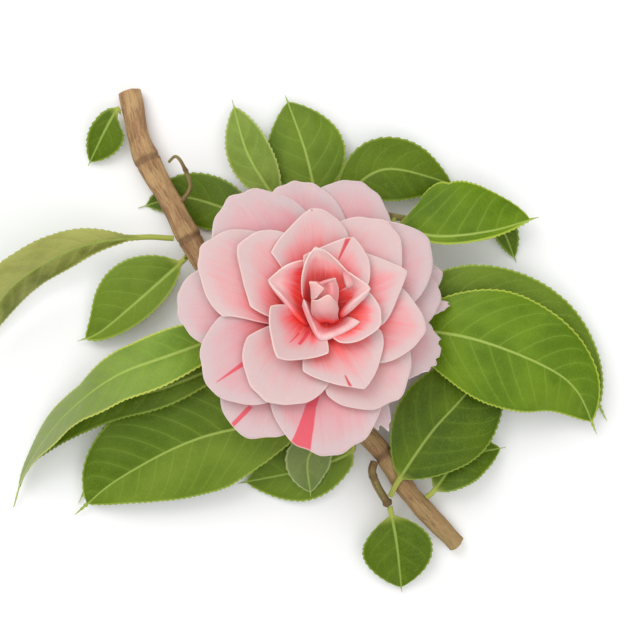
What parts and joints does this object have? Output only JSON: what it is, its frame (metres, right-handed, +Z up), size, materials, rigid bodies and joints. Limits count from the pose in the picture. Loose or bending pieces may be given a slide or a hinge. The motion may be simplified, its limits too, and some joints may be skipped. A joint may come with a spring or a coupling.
{
  "type": "cut camellia branch with bloom",
  "caption": "Cut camellia branch lying flat: a large formal double bloom of overlapping petals on a brown stem, with glossy pointed leaves on short twigs.",
  "frame": {"origin": "centre of the underside of the part's box, on the level surface that the branch lies on", "axes": "+X along the longest extent, to the right of the bloom as it is seen from above; +Y towards the upper cut end; +Z up, the way the bloom faces"},
  "size_m": [0.221, 0.1676, 0.0527],
  "materials": {
    "bark": "tan to grey-brown bark with fine ridges and ring scars, greener towards the lower end",
    "twig_bark": "smooth green-brown young bark with small nodes",
    "leaf": "glossy mid to dark green with a pale midrib, looping side veins and a fine toothed yellow-green margin",
    "calyx": "satin green-brown overlapping sepals",
    "petal": "soft satin pink, paler at the margins and coral red at the base, with fine radial veins and a few red stripes"
  },
  "bodies": {
    "root": {"bloom": "petal", "calyx": "calyx", "dry_twig": "twig_bark", "flower_twig": "twig_bark", "leaf_behind_right": "leaf", "leaf_behind_stem": "leaf", "leaf_beside_stem": "leaf", "leaf_bottom": "leaf", "leaf_dark_tip": "leaf", "leaf_drooping": "leaf", "leaf_far_left": "leaf", "leaf_folded": "leaf", "leaf_left": "leaf", "leaf_lower_left": "leaf", "leaf_lower_right": "leaf", "leaf_right": "leaf", "leaf_small": "leaf", "leaf_stem_top": "leaf", "leaf_top": "leaf", "leaf_top_behind": "leaf", "leaf_top_narrow": "leaf", "leaf_top_right": "leaf", "leaf_under_bloom": "leaf", "leaf_under_left": "leaf", "lower_twig": "twig_bark", "main_stem": "bark", "right_twig": "twig_bark", "upper_twig": "twig_bark"}
  },
  "joints": []
}
